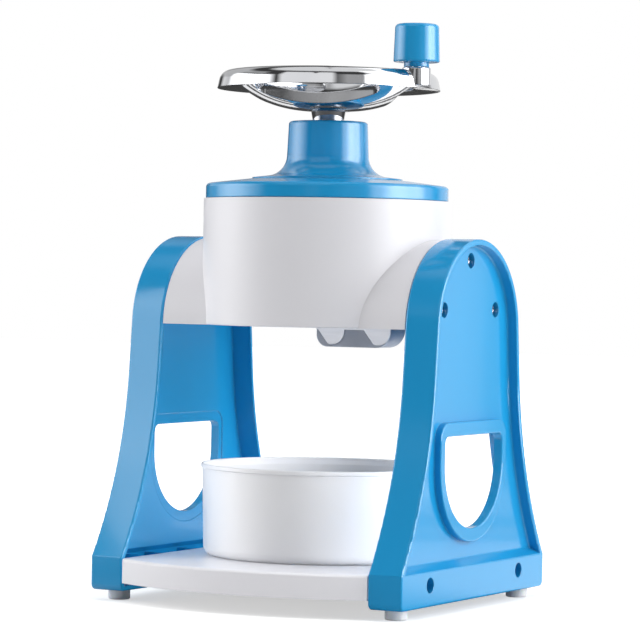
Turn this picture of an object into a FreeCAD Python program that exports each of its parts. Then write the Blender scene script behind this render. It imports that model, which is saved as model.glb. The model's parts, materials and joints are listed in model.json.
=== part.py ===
import FreeCAD, Part
import math
import os

# Hand cranked ice shaver.  Millimetres, +Z up, +X to the right-hand side panel, front at -Y.
# The origin is on the crank's axis, on the surface that the feet stand on.

Vector = FreeCAD.Vector

# ---- Driving dimensions ---------------------------------------------------------------------

# Feet
FOOT_RADIUS = 7.2
FOOT_HEIGHT = 6.7
FOOT_STEM_RADIUS = 3.2
FOOT_BARB_RADIUS = 4.4
FOOT_BARB_HEIGHT = 2.6
FOOT_EDGE = 1.2
FOOT_INSET = 16.4

# Side panels: a channel section with its web between an outer and an inner recess
PANEL_THICKNESS = 23.85
PANEL_HALF_DEPTH = 105.0
PANEL_BLOCK_HEIGHT = 22.3
PANEL_CORNER = 4.0
PANEL_EDGE = 1.4
PANEL_MOUTH_EDGE = 0.8
PANEL_ROOT = 1.2
PANEL_FLANGE = 4.0
PANEL_INNER_FLANGE = 3.2
PANEL_RECESS = 7.05
PANEL_WEB = 2.2
PANEL_BEVEL_HEIGHT = 4.0
PANEL_BLOCK_WALL = 2.6
PANEL_RIB = 2.0
PANEL_RIB_SPACING = 42.0
ARCH_RADIUS = 60.2
ARCH_FLARE = math.radians(5.0)
ARCH_FLARE_LENGTH = 35.0

# Shield-shaped window in each panel, with a ring raised round it
WINDOW_HALF_WIDTH = 42.0
WINDOW_TOP_HEIGHT = 113.0
WINDOW_STRAIGHT = 18.5
WINDOW_CORNER = 5.0
WINDOW_RING = 6.5
WINDOW_RING_STRETCH = 2.5
WINDOW_RING_RISE = 4.7
WINDOW_RING_THICKNESS = 6.3
WINDOW_RING_EDGE = 1.0

# Hopper
HOPPER_RADIUS = 82.0
HOPPER_WALL = 3.0
HOPPER_HEIGHT = 83.5
HOPPER_UNDERSIDE = 181.2
HOPPER_SIDE_GAP = 8.5
HOPPER_LEDGE = 6.5
HOPPER_FLOOR = 3.0
HOPPER_EDGE = 1.0
WING_INSET = 0.9
WING_WALL = 2.5
WING_END_GAP = 0.4
ARCH_DROP = 1.4

# Screws through the panels
SCREW_RADIUS = 2.0
SCREW_HEAD_RADIUS = 4.0
SCREW_HEAD_HEIGHT = 2.6
SCREW_DRIVE_RADIUS = 1.5
SCREW_DRIVE_DEPTH = 1.4
SCREW_LENGTH = 14.0
CUP_RADIUS = 5.0
CUP_WALL = 2.0
CUP_FLOOR = 2.0
CUP_DEPTH = 5.0
BOSS_RADIUS = 4.6
SCREW_SIDE_OFFSET = 37.7
SCREW_SIDE_RISE = 12.8
SCREW_TOP_DROP = 14.0
TRAY_SCREW_OFFSET = 65.4

# Tray
TRAY_DROP = 5.6
TRAY_THICKNESS = 16.1
TRAY_BOW = 22.0
TRAY_WALL = 2.6
TRAY_EDGE = 1.8
TRAY_BOSS_LENGTH = 20.0
TRAY_RIB = 1.8
TRAY_RIB_SPACING = 44.0

# Bowl
BOWL_RIM_RADIUS = 81.0
BOWL_FOOT_RADIUS = 78.6
BOWL_HEIGHT = 60.7
BOWL_WALL = 1.8
BOWL_FOOT_ROUND = 6.0
BOWL_LIP = 0.9
BOWL_LIP_HEIGHT = 3.0
BOWL_EDGE = 0.8
BOWL_KICK = 0.8

# Blade disc, blade, carrier and deflector
DISC_THICKNESS = 1.5
SLOT_INNER = 10.0
SLOT_RIM = 11.5
SLOT_ROUND = 1.5
SLOT_THROAT = 3.0
BLADE_THICKNESS = 1.6
BLADE_WIDTH = 21.0
BLADE_TILT = math.radians(22.0)
BLADE_RISE = 0.6
BLADE_EDGE_Y = 0.5
BLADE_END_GAP = 0.8
BLADE_BEVEL = 3.0
BLADE_SCREW_SET = 14.0
BLADE_SCREW_SPACING = 28.0
BLADE_SCREW_DEPTH = 8.0
CARRIER_FRONT = 26.0
CARRIER_DEPTH = 20.0
CARRIER_HEIGHT = 16.0
CARRIER_INNER = 8.0
CARRIER_END = 2.2
CARRIER_EAR = 6.2
CARRIER_SCREW_SPACING = 12.0
CARRIER_INNER_ROUND = 8.0
CARRIER_OUTER_ROUND = 12.0
DEFLECTOR_SHEET = 1.0
DEFLECTOR_FLANGE = 9.0
DEFLECTOR_SKIRT = 4.6
TAB_WIDTH = 19.5
TAB_DROP = 9.6
TAB_SLANT = 7.6
TAB_FIRST = 9.5
TAB_PITCH = 34.0
TAB_ROUND = 2.6
TAB_HEEL_ROUND = 8.6
DEFLECTOR_SCREW_SPACING = 32.0
TAB_COUNT = 2
SMALL_SCREW_RADIUS = 1.5
SMALL_HEAD_RADIUS = 2.6
SMALL_HEAD_HEIGHT = 1.2
SMALL_SCREW_LENGTH = 4.5
DISC_SCREW_COUNT = 4

# Lid
LID_INSET = 1.35
LID_WALL = 2.6
LID_RIM_HEIGHT = 10.0
LID_RIM_ROUND = 2.6
LID_LIP_GAP = 0.4
LID_PLUG_DEPTH = 6.0
LID_SEAT = 0.9
LID_CONE = math.radians(7.0)
LID_STEP_RADIUS = 50.0
LID_STEP_HEIGHT = 0.8
LID_KEY_COUNT = 4
LID_KEY_ANGLE = 45.0
LID_KEY_WIDTH = 8.0
LID_KEY_DEPTH = 1.2
NECK_RADIUS = 26.2
NECK_DRAFT = 1.5
NECK_HEIGHT = 52.3
NECK_FILLET = 14.0
NECK_EDGE = 2.0
NECK_RIB_COUNT = 6
NECK_RIB = 2.0
CONE_RIB = 3.5

# Drive shaft and its bushing
SHAFT_RADIUS = 6.0
SHAFT_SQUARE = 10.0
SHAFT_DRIVE = 8.2
SHAFT_COLLAR_RADIUS = 10.5
SHAFT_COLLAR = 3.0
SHAFT_STUD_RADIUS = 4.0
BUSH_WALL = 3.0
BUSH_LENGTH = 20.0
BUSH_FLANGE = 13.0
BUSH_FLANGE_THICKNESS = 3.0
BUSH_BOSS_WALL = 2.6
WASHER_THICKNESS = 1.5

# Handwheel
WHEEL_RADIUS = 74.2
WHEEL_EDGE_HEIGHT = 21.2
WHEEL_RIM_HEIGHT = 11.8
WHEEL_RIM_WIDTH = 17.0
WHEEL_RIM_SHOULDER = 7.5
WHEEL_RIM_INNER_ROUND = 6.0
WHEEL_RIM_DRAFT = 2.6
WHEEL_UNDERSIDE_RISE = 1.3
WHEEL_HUB_RADIUS = 14.5
WHEEL_HUB_TOP = 14.0
WHEEL_DISH_BOTTOM = 7.0
WHEEL_DISH_RISE = 13.4
WHEEL_NUT_SEAT = 9.5
WHEEL_SKIRT_TOP_RADIUS = 11.6
WHEEL_SKIRT_RADIUS = 10.4
SPOKE_COUNT = 3
SPOKE_ANGLE = -11.8
GAP_SIDE = 35.0
GAP_HALF_LENGTH = 41.0
GAP_ROUND = 5.0
NUT_HEIGHT = 5.0
NUT_RADIUS = 6.5
HUB_CAP_RADIUS = 9.8
HUB_CAP_RISE = 3.4
HUB_CAP_WALL = 1.2
HUB_CAP_ROUND = 2.6

# Knob on the rim
KNOB_ANGLE = -6.3
KNOB_OFFSET = 4.9
KNOB_BOSS_RADIUS = 9.4
KNOB_BOSS_RISE = 1.4
KNOB_BOSS_EDGE = 1.0
KNOB_STEM_RADIUS = 8.25
KNOB_STEM = 3.1
KNOB_RADIUS = 15.15
KNOB_TOP_RADIUS = 14.3
KNOB_HEIGHT = 24.9
KNOB_EDGE = 2.6
KNOB_SCREW_RADIUS = 3.5
KNOB_SCREW_DEPTH = 8.5
KNOB_SHELF = 15.0
KNOB_HEAD_RADIUS = 6.0
KNOB_HEAD_HEIGHT = 4.0
KNOB_WELL_RADIUS = 8.0
KNOB_CAP_RADIUS = 10.5
KNOB_CAP_THICKNESS = 2.0

# Presser
PRESSER_RADIUS = 72.0
PRESSER_PLATE = 3.0
PRESSER_CLEARANCE = 10.4
PRESSER_HUB_RADIUS = 13.0
PRESSER_HUB_HEIGHT = 14.0
PRESSER_RIM = 2.4
PRESSER_RIM_RISE = 4.0
PRESSER_RIB_COUNT = 6
PIN_RADIUS = 2.0
PIN_LENGTH = 8.0
PIN_TIP_RADIUS = 0.5
PIN_POINT = 4.0
PIN_INNER_RADIUS = 28.0
PIN_OUTER_RADIUS = 58.0
PIN_INNER_COUNT = 6
PIN_OUTER_COUNT = 12
END_WASHER_RADIUS = 12.0
END_HEAD_RADIUS = 5.0
END_HEAD_HEIGHT = 3.2
END_SCREW_RADIUS = 2.4
END_SCREW_DEPTH = 12.0

# Presser spring
SPRING_WIRE = 1.6
SPRING_RADIUS = 9.6
SPRING_TURNS = 9
SPRING_FLATS = 8

# Clearances
RUNNING = 0.05
FIT = 0.1
SLIDING = 0.3
PLUG = 0.3
OVERCUT = 1.0

FULL_TURN = 360.0

# ---- Levels and places worked out from them --------------------------------------------------

panel_inner = HOPPER_RADIUS + HOPPER_SIDE_GAP
panel_outer = panel_inner + PANEL_THICKNESS
web_outer = panel_outer - PANEL_RECESS
web_inner = web_outer - PANEL_WEB
block_top = FOOT_HEIGHT + PANEL_BLOCK_HEIGHT
arch_centre = HOPPER_UNDERSIDE - ARCH_DROP
arch_top = arch_centre + ARCH_RADIUS
foot_x = panel_inner + PANEL_THICKNESS / 2
foot_y = PANEL_HALF_DEPTH - FOOT_INSET

tray_bottom = FOOT_HEIGHT + TRAY_DROP
tray_top = tray_bottom + TRAY_THICKNESS
tray_end = panel_inner - WING_END_GAP
tray_screw_z = tray_bottom + TRAY_THICKNESS / 2

hopper_top = HOPPER_UNDERSIDE + HOPPER_HEIGHT
hopper_bore = HOPPER_RADIUS - HOPPER_WALL
floor_top = HOPPER_UNDERSIDE + HOPPER_FLOOR
disc_top = floor_top + DISC_THICKNESS
ledge_radius = hopper_bore - HOPPER_LEDGE
slot_outer = ledge_radius - SLOT_RIM
disc_radius = hopper_bore - PLUG
blade_edge_z = disc_top + BLADE_RISE
carrier_bottom = floor_top - CARRIER_HEIGHT
carrier_outer = slot_outer + CARRIER_END
ear_outer = math.sqrt(ledge_radius**2 - CARRIER_FRONT**2) - FIT
ear_inner = CARRIER_INNER - CARRIER_EAR
disc_screw_radius = (ledge_radius + disc_radius) / 2
wing_end = panel_inner - WING_END_GAP
cup_back = web_outer - CUP_DEPTH - CUP_FLOOR

lid_radius = HOPPER_RADIUS - LID_INSET
plug_radius = hopper_bore - PLUG
lid_edge_top = hopper_top + LID_RIM_HEIGHT
neck_top = hopper_top + NECK_HEIGHT
neck_foot_radius = NECK_RADIUS + NECK_DRAFT

bush_radius = SHAFT_RADIUS + RUNNING + BUSH_WALL
bush_bottom = neck_top - BUSH_LENGTH
collar_top = bush_bottom - WASHER_THICKNESS - SLIDING
collar_bottom = collar_top - SHAFT_COLLAR
hub_bottom = neck_top + SLIDING
hub_top = neck_top + WHEEL_HUB_TOP
wheel_edge = neck_top + WHEEL_EDGE_HEIGHT
rim_top = wheel_edge + WHEEL_RIM_HEIGHT
rim_inner = WHEEL_RADIUS - WHEEL_RIM_WIDTH

knob_radius_place = WHEEL_RADIUS - KNOB_OFFSET
knob_x = knob_radius_place * math.cos(math.radians(KNOB_ANGLE))
knob_y = knob_radius_place * math.sin(math.radians(KNOB_ANGLE))
knob_boss_top = rim_top + KNOB_BOSS_RISE
knob_bottom = knob_boss_top + SLIDING

presser_bottom = disc_top + PRESSER_CLEARANCE
presser_top = presser_bottom + PRESSER_PLATE
presser_hub_top = presser_top + PRESSER_HUB_HEIGHT
shaft_end = presser_bottom - SLIDING


# ---- Modelling helpers -----------------------------------------------------------------------


def on_xz(across, up):
    return Vector(across, 0, up)


def on_yz(across, up):
    return Vector(0, across, up)


def on_xy(across, along):
    return Vector(across, along, 0)


def corner_stops(before, corner, after, radius):
    """Start, middle and end of the arc that rounds a corner."""
    into = (before - corner).normalize()
    out = (after - corner).normalize()
    half = into.getAngle(out) / 2
    reach = radius / math.tan(half)
    inward = (into + out).normalize()
    return corner + into * reach, corner + inward * (radius / math.sin(half) - radius), corner + out * reach


def outline(corners, plane):
    """Closed wire through (across, up) or (across, up, round) corners."""
    spots = [plane(corner[0], corner[1]) for corner in corners]
    count = len(corners)
    stops = []
    for i, corner in enumerate(corners):
        if len(corner) == 3:
            stops.append(corner_stops(spots[i - 1], spots[i], spots[(i + 1) % count], corner[2]))
        else:
            stops.append((spots[i],))
    edges = []
    for i in range(count):
        here = stops[i]
        ahead = stops[(i + 1) % count]
        if len(here) == 3:
            edges.append(Part.Arc(*here).toShape())
        edges.append(Part.LineSegment(here[-1], ahead[0]).toShape())
    return Part.Wire(edges)


def turned(corners, x=0.0, y=0.0):
    """Solid of revolution about a vertical axis, from (radius, height) corners."""
    solid = Part.Face(outline(corners, on_xz)).revolve(Vector(0, 0, 0), Vector(0, 0, 1), FULL_TURN)
    solid.translate(Vector(x, y, 0))
    return solid


def column(radius, bottom, top, x=0.0, y=0.0):
    return Part.makeCylinder(radius, top - bottom, Vector(x, y, bottom))


def rod(radius, start, end, y, z):
    """Cylinder along X."""
    return Part.makeCylinder(radius, end - start, Vector(start, y, z), Vector(1, 0, 0))


def block(x0, x1, y0, y1, z0, z1):
    return Part.makeBox(x1 - x0, y1 - y0, z1 - z0, Vector(x0, y0, z0))


def slab(wire, start, end):
    """A wire of the YZ plane, extruded along X."""
    face = Part.Face(wire)
    face.translate(Vector(start, 0, 0))
    return face.extrude(Vector(end - start, 0, 0))


def bar(corners, start, end):
    """An XZ outline, extruded along Y."""
    face = Part.Face(outline(corners, on_xz))
    face.translate(Vector(0, start, 0))
    return face.extrude(Vector(0, end - start, 0))


def plate(corners, bottom, top):
    """An XY outline, extruded along Z."""
    face = Part.Face(outline(corners, on_xy))
    face.translate(Vector(0, 0, bottom))
    return face.extrude(Vector(0, 0, top - bottom))


def around(shape, degrees):
    """The shape turned about the crank's axis."""
    copy = shape.copy()
    copy.rotate(Vector(0, 0, 0), Vector(0, 0, 1), degrees)
    return copy


def ring_of(shape, count, first=0.0):
    return [around(shape, first + FULL_TURN * i / count) for i in range(count)]


def mirrored(shape):
    """The left-hand twin of a right-hand shape."""
    return shape.mirror(Vector(0, 0, 0), Vector(1, 0, 0))


def joined(first, others):
    return first.fuse(others).removeSplitter()


def hexagon(radius):
    """Corners of a hexagon with this inner radius."""
    far = radius / math.cos(math.radians(30))
    return [(far * math.cos(math.radians(60 * i)), far * math.sin(math.radians(60 * i))) for i in range(6)]


def square(side):
    half = side / 2
    return [(-half, -half), (half, -half), (half, half), (-half, half)]


def lies_across(shape, x):
    """True for an edge or a face in the plane at this X."""
    return shape.BoundBox.XLength < FIT and abs(shape.BoundBox.XMin - x) < FIT


def edges_across(shape, x):
    """Edges that lie in the plane at this X."""
    return [edge for edge in shape.Edges if lies_across(edge, x)]


def holes_across(shape, x):
    """Edges round the openings of the widest flat face at this X."""
    widest = max([face for face in shape.Faces if lies_across(face, x)], key=lambda face: face.Area)
    outer = widest.OuterWire.hashCode()
    return [edge for wire in widest.Wires if wire.hashCode() != outer for edge in wire.Edges]


# ---- Side panels -----------------------------------------------------------------------------


def sweep_arc():
    """Centre and radius of the concave arc from the arch's flare to the block's corner."""
    y = ARCH_RADIUS * math.cos(ARCH_FLARE) + ARCH_FLARE_LENGTH * math.tan(ARCH_FLARE)
    z = arch_centre + ARCH_RADIUS * math.sin(ARCH_FLARE) - ARCH_FLARE_LENGTH
    across = y - PANEL_HALF_DEPTH
    up = z - block_top
    slope = across * math.cos(ARCH_FLARE) + up * math.sin(ARCH_FLARE)
    radius = -(across**2 + up**2) / (2 * slope)
    return y + radius * math.cos(ARCH_FLARE), z + radius * math.sin(ARCH_FLARE), radius


def panel_side(inset, sign):
    """Edges of one side of the outline, from the middle of the base to the arch."""
    centre_y, centre_z, radius = sweep_arc()
    radius += inset
    side = PANEL_HALF_DEPTH - inset
    floor = FOOT_HEIGHT + inset
    corner = max(PANEL_CORNER - inset, FIT)
    block_angle = math.acos((centre_y - side) / radius)
    arch = ARCH_RADIUS - inset

    def spot(y, z):
        return Vector(0, sign * y, z)

    def on_sweep(angle):
        return spot(centre_y - radius * math.cos(angle), centre_z - radius * math.sin(angle))

    arch_end = spot(arch * math.cos(ARCH_FLARE), arch_centre + arch * math.sin(ARCH_FLARE))
    diagonal = corner * (1 - math.sqrt(0.5))
    rounding = Part.Arc(
        spot(side - corner, floor), spot(side - diagonal, floor + diagonal), spot(side, floor + corner)
    )
    sweep = Part.Arc(on_sweep(block_angle), on_sweep((block_angle + ARCH_FLARE) / 2), on_sweep(ARCH_FLARE))
    return [
        Part.LineSegment(spot(0, floor), spot(side - corner, floor)).toShape(),
        rounding.toShape(),
        Part.LineSegment(spot(side, floor + corner), on_sweep(block_angle)).toShape(),
        sweep.toShape(),
        Part.LineSegment(on_sweep(ARCH_FLARE), arch_end).toShape(),
    ]


def panel_wire(inset):
    """The panel's whole outline, drawn in by inset."""
    front = panel_side(inset, -1)
    back = panel_side(inset, 1)
    top = Vector(0, 0, arch_top - inset)
    arch = Part.Arc(front[-1].Vertexes[-1].Point, top, back[-1].Vertexes[-1].Point).toShape()
    return Part.Wire(Part.__sortEdges__(front + back + [arch]))


def bevel_height(x):
    """Height of the sloped band above the block, at this distance from the middle."""
    return block_top + PANEL_BEVEL_HEIGHT * (panel_outer - x) / PANEL_RECESS


def outer_recess():
    mouth = panel_outer + OVERCUT
    band = [
        (web_outer, bevel_height(web_outer)),
        (mouth, bevel_height(mouth)),
        (mouth, arch_top),
        (web_outer, arch_top),
    ]
    limit = bar(band, -PANEL_HALF_DEPTH, PANEL_HALF_DEPTH)
    recess = slab(panel_wire(PANEL_FLANGE), web_outer, mouth).common(limit)
    return recess.makeFillet(PANEL_ROOT, edges_across(recess, web_outer))


def inner_recess():
    mouth = panel_inner - OVERCUT
    deep = panel_outer - PANEL_BLOCK_WALL
    section = [
        (mouth, FOOT_HEIGHT),
        (deep, FOOT_HEIGHT),
        (deep, bevel_height(deep) - PANEL_BLOCK_WALL),
        (web_inner, bevel_height(web_inner) - PANEL_BLOCK_WALL),
        (web_inner, arch_top),
        (mouth, arch_top),
    ]
    limit = bar(section, -PANEL_HALF_DEPTH, PANEL_HALF_DEPTH)
    return slab(panel_wire(PANEL_INNER_FLANGE), mouth, deep).common(limit)


def window_wire(grow, stretch):
    """The shield: flat top with rounded corners, straight sides, half-round foot."""
    half = WINDOW_HALF_WIDTH + grow
    top = WINDOW_TOP_HEIGHT + grow + stretch
    low = WINDOW_TOP_HEIGHT - WINDOW_STRAIGHT - stretch
    corner = WINDOW_CORNER + grow
    right = corner_stops(on_yz(half, low), on_yz(half, top), on_yz(0, top), corner)
    left = corner_stops(on_yz(0, top), on_yz(-half, top), on_yz(-half, low), corner)
    foot = Part.Arc(on_yz(-half, low), on_yz(0, low - half), on_yz(half, low))
    edges = [
        foot.toShape(),
        Part.LineSegment(on_yz(half, low), right[0]).toShape(),
        Part.Arc(*right).toShape(),
        Part.LineSegment(right[2], left[0]).toShape(),
        Part.Arc(*left).toShape(),
        Part.LineSegment(left[2], on_yz(-half, low)).toShape(),
    ]
    return Part.Wire(edges)


def hopper_screw_places():
    """(y, z) of the three screws from each panel into the hopper's wing."""
    side = HOPPER_UNDERSIDE + SCREW_SIDE_RISE
    return [(0, arch_top - SCREW_TOP_DROP), (SCREW_SIDE_OFFSET, side), (-SCREW_SIDE_OFFSET, side)]


def tray_screw_places():
    return [(TRAY_SCREW_OFFSET, tray_screw_z), (-TRAY_SCREW_OFFSET, tray_screw_z)]


def screw_cup(y, z, seat, face):
    """A screw's cup and the bores in it: seat is its floor, face the surface it opens in."""
    tube = rod(CUP_RADIUS + CUP_WALL, seat - CUP_FLOOR, face, y, z)
    well = rod(CUP_RADIUS, seat, face + 1, y, z)
    hole = rod(SCREW_RADIUS + SLIDING, seat - CUP_FLOOR - OVERCUT, seat + OVERCUT, y, z)
    return tube, [well, hole]


def panel_cups():
    cups = [screw_cup(y, z, web_outer - CUP_DEPTH, web_outer) for y, z in hopper_screw_places()]
    cups += [screw_cup(y, z, panel_inner + CUP_FLOOR, panel_outer) for y, z in tray_screw_places()]
    tubes = [tube for tube, bores in cups]
    bores = [bore for tube, bores in cups for bore in bores]
    return tubes, bores


def panel_ribs():
    """Upright ribs across the hollow of the base block."""
    deep = panel_outer - PANEL_BLOCK_WALL / 2
    top = bevel_height(deep) - PANEL_BLOCK_WALL
    half = PANEL_RIB / 2
    places = [-PANEL_RIB_SPACING, 0, PANEL_RIB_SPACING]
    return [block(panel_inner, deep, y - half, y + half, FOOT_HEIGHT + FIT, top) for y in places]


def right_panel():
    shell = slab(panel_wire(0), panel_inner, panel_outer)
    shell = shell.makeFillet(PANEL_EDGE, edges_across(shell, panel_inner) + edges_across(shell, panel_outer))
    shell = shell.cut(outer_recess())
    shell = shell.makeFillet(PANEL_MOUTH_EDGE, holes_across(shell, panel_outer)).cut(inner_recess())
    ring_face = web_outer + WINDOW_RING_RISE
    ring_back = ring_face - WINDOW_RING_THICKNESS
    ring = slab(window_wire(WINDOW_RING, WINDOW_RING_STRETCH), web_inner, ring_face)
    ring = ring.cut(slab(window_wire(0, 0), web_inner, ring_face))
    ring = ring.makeFillet(WINDOW_RING_EDGE, edges_across(ring, ring_face))
    pocket_edge = WINDOW_RING - PANEL_WEB
    pocket = slab(window_wire(pocket_edge, WINDOW_RING_STRETCH), panel_inner, ring_back)
    opening = slab(window_wire(0, 0), panel_inner, panel_outer)
    tubes, bores = panel_cups()
    seat = FOOT_HEIGHT + PANEL_INNER_FLANGE
    stems = [column(FOOT_STEM_RADIUS + FIT, 0, seat + OVERCUT, foot_x, y) for y in (-foot_y, foot_y)]
    shell = joined(shell, [ring] + tubes + panel_ribs())
    return shell.cut([pocket, opening] + bores + stems)


# ---- Feet and tray ---------------------------------------------------------------------------


def foot(x, y):
    """Rubber foot with a barbed stem through the panel's floor."""
    seat = FOOT_HEIGHT + PANEL_INNER_FLANGE
    corners = [
        (0, 0),
        (FOOT_RADIUS, 0, FOOT_EDGE),
        (FOOT_RADIUS, FOOT_HEIGHT),
        (FOOT_STEM_RADIUS, FOOT_HEIGHT),
        (FOOT_STEM_RADIUS, seat),
        (FOOT_BARB_RADIUS, seat),
        (FOOT_STEM_RADIUS, seat + FOOT_BARB_HEIGHT),
        (0, seat + FOOT_BARB_HEIGHT),
    ]
    return turned(corners, x, y)


def tray_plan(inset, bottom, top):
    """The tray's plan, bowed alike at the front and the back."""
    x = tray_end - inset
    y = PANEL_HALF_DEPTH - inset
    bow = y + TRAY_BOW
    edges = [
        Part.Arc(on_xy(-x, -y), on_xy(0, -bow), on_xy(x, -y)).toShape(),
        Part.LineSegment(on_xy(x, -y), on_xy(x, y)).toShape(),
        Part.Arc(on_xy(x, y), on_xy(0, bow), on_xy(-x, y)).toShape(),
        Part.LineSegment(on_xy(-x, y), on_xy(-x, -y)).toShape(),
    ]
    face = Part.Face(Part.Wire(edges))
    face.translate(Vector(0, 0, bottom))
    return face.extrude(Vector(0, 0, top - bottom))


def tray_ribs():
    """Ribs under the tray's top, across and along."""
    half = TRAY_RIB / 2
    low = tray_bottom + TRAY_WALL
    reach = PANEL_HALF_DEPTH + TRAY_BOW
    ribs = []
    for i in (-1, 0, 1):
        place = i * TRAY_RIB_SPACING
        ribs.append(block(place - half, place + half, -reach, reach, low, tray_top))
        ribs.append(block(-tray_end, tray_end, place - half, place + half, low, tray_top))
    return ribs


def base_tray():
    body = tray_plan(0, tray_bottom, tray_top)
    rounded = [edge for edge in body.Edges if edge.Curve.TypeId == "Part::GeomCircle"]
    body = body.makeFillet(TRAY_EDGE, [edge for edge in rounded if edge.BoundBox.ZMin > tray_bottom])
    hollow = tray_plan(TRAY_WALL, tray_bottom - 1, tray_top - TRAY_WALL).cut(tray_ribs())
    start = tray_end - TRAY_BOSS_LENGTH
    bosses = [rod(BOSS_RADIUS, start, panel_inner, y, z) for y, z in tray_screw_places()]
    pilots = [rod(SCREW_RADIUS + FIT, start, panel_inner, y, z) for y, z in tray_screw_places()]
    bosses += [mirrored(boss) for boss in bosses]
    pilots += [mirrored(pilot) for pilot in pilots]
    return joined(body.cut(hollow), bosses).cut(pilots)


# ---- Screws through the panels ---------------------------------------------------------------


def panel_screw(y, z, seat):
    """Pan-head screw along X with a socket, its head seated at X = seat."""
    shank = rod(SCREW_RADIUS, seat - SCREW_LENGTH, seat, y, z)
    head = rod(SCREW_HEAD_RADIUS, seat, seat + SCREW_HEAD_HEIGHT, y, z)
    rim = [edge for edge in head.Edges if edge.BoundBox.XMin > seat]
    head = head.makeFillet(SCREW_HEAD_HEIGHT / 3, rim)
    face = seat + SCREW_HEAD_HEIGHT
    socket = slab(outline(hexagon(SCREW_DRIVE_RADIUS), on_yz), face - SCREW_DRIVE_DEPTH, face)
    socket.translate(Vector(0, y, z))
    return joined(shank, [head]).cut(socket)


def screw_set(places, seat):
    """The same screws through the right and the left panel."""
    right = [panel_screw(y, z, seat) for y, z in places]
    return Part.makeCompound(right + [mirrored(screw) for screw in right])


# ---- Hopper ----------------------------------------------------------------------------------


def hopper_wings():
    """Arched shells that reach out to both panels, open below."""
    outer = ARCH_RADIUS - WING_INSET
    inner_end = wing_end - WING_WALL
    arch = rod(outer, -wing_end, wing_end, 0, arch_centre)
    upper = block(-wing_end, wing_end, -outer, outer, HOPPER_UNDERSIDE, arch_top)
    return arch.common(upper).cut(rod(outer - WING_WALL, -inner_end, inner_end, 0, arch_centre))


def hopper_shell():
    wall = turned([
        (ledge_radius, HOPPER_UNDERSIDE),
        (HOPPER_RADIUS, HOPPER_UNDERSIDE, HOPPER_EDGE),
        (HOPPER_RADIUS, hopper_top),
        (hopper_bore, hopper_top),
        (hopper_bore, floor_top),
        (ledge_radius, floor_top),
    ])
    bosses = [rod(BOSS_RADIUS, HOPPER_RADIUS / 2, cup_back, y, z) for y, z in hopper_screw_places()]
    boss_end = web_outer - CUP_DEPTH - SCREW_LENGTH
    pilots = [rod(SCREW_RADIUS + FIT, boss_end, cup_back, y, z) for y, z in hopper_screw_places()]
    bosses += [mirrored(boss) for boss in bosses]
    pilots += [mirrored(pilot) for pilot in pilots]
    bore = column(hopper_bore, floor_top, hopper_top)
    throat = column(ledge_radius, HOPPER_UNDERSIDE, floor_top)
    half = LID_KEY_WIDTH / 2 + PLUG
    key_end = plug_radius + LID_KEY_DEPTH + PLUG
    notch = block(hopper_bore - OVERCUT, key_end, -half, half, hopper_top - LID_PLUG_DEPTH - PLUG, hopper_top)
    hole = column(SMALL_SCREW_RADIUS + FIT, HOPPER_UNDERSIDE, floor_top, disc_screw_radius)
    cuts = [bore, throat] + pilots + ring_of(hole, DISC_SCREW_COUNT)
    cuts += ring_of(notch, LID_KEY_COUNT, LID_KEY_ANGLE)
    return joined(wall, [hopper_wings()] + bosses).cut(cuts)


# ---- Blade disc and what hangs from it -------------------------------------------------------


def countersunk(x, y, length, gap=0.0):
    """Countersunk screw, flush with the disc's top; gap gives the hole for it."""
    neck = disc_top - SMALL_HEAD_HEIGHT
    corners = [
        (0, disc_top),
        (SMALL_HEAD_RADIUS + gap, disc_top),
        (SMALL_SCREW_RADIUS + gap, neck),
        (SMALL_SCREW_RADIUS + gap, disc_top - length),
        (0, disc_top - length),
    ]
    return turned(corners, x, y)


def disc_screws(length, gap=0.0):
    return ring_of(countersunk(disc_screw_radius, 0, length, gap), DISC_SCREW_COUNT)


def carrier_screws(length, gap=0.0):
    middle = -CARRIER_FRONT + CARRIER_DEPTH / 2
    rows = (middle - CARRIER_SCREW_SPACING / 2, middle + CARRIER_SCREW_SPACING / 2)
    columns = ((ear_inner + CARRIER_INNER) / 2, (carrier_outer + ear_outer) / 2)
    return [countersunk(x, y, length, gap) for x in columns for y in rows]


def deflector_screws(length, gap=0.0):
    middle = (CARRIER_INNER + carrier_outer) / 2
    y = -CARRIER_FRONT - (DEFLECTOR_SHEET + DEFLECTOR_FLANGE) / 2
    places = (middle - DEFLECTOR_SCREW_SPACING / 2, middle + DEFLECTOR_SCREW_SPACING / 2)
    return [countersunk(x, y, length, gap) for x in places]


def blade_disc():
    slope = math.tan(BLADE_TILT)
    back = BLADE_EDGE_Y - (BLADE_RISE + DISC_THICKNESS) / slope - SLIDING
    front = BLADE_EDGE_Y + SLOT_THROAT
    corners = [(SLOT_INNER, back), (slot_outer, back), (slot_outer, front), (SLOT_INNER, front)]
    slot = plate([(x, y, SLOT_ROUND) for x, y in corners], floor_top, disc_top)
    through = DISC_THICKNESS
    holes = disc_screws(through, FIT) + carrier_screws(through, FIT) + deflector_screws(through, FIT)
    return column(disc_radius, floor_top, disc_top).cut([slot] + holes)


def blade_point(along, above):
    """(y, z) at a distance down the blade from its edge and above its upper face."""
    y = BLADE_EDGE_Y - along * math.cos(BLADE_TILT) - above * math.sin(BLADE_TILT)
    z = blade_edge_z - along * math.sin(BLADE_TILT) + above * math.cos(BLADE_TILT)
    return y, z


def blade_rods(radius, low, high):
    """Rods square to the blade at its screws, between two heights above its upper face."""
    middle = (SLOT_INNER + slot_outer) / 2
    y, z = blade_point(BLADE_SCREW_SET, low)
    lean = Vector(0, -math.sin(BLADE_TILT), math.cos(BLADE_TILT))
    places = (middle - BLADE_SCREW_SPACING / 2, middle + BLADE_SCREW_SPACING / 2)
    return [Part.makeCylinder(radius, high - low, Vector(x, y, z), lean) for x in places]


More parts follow.
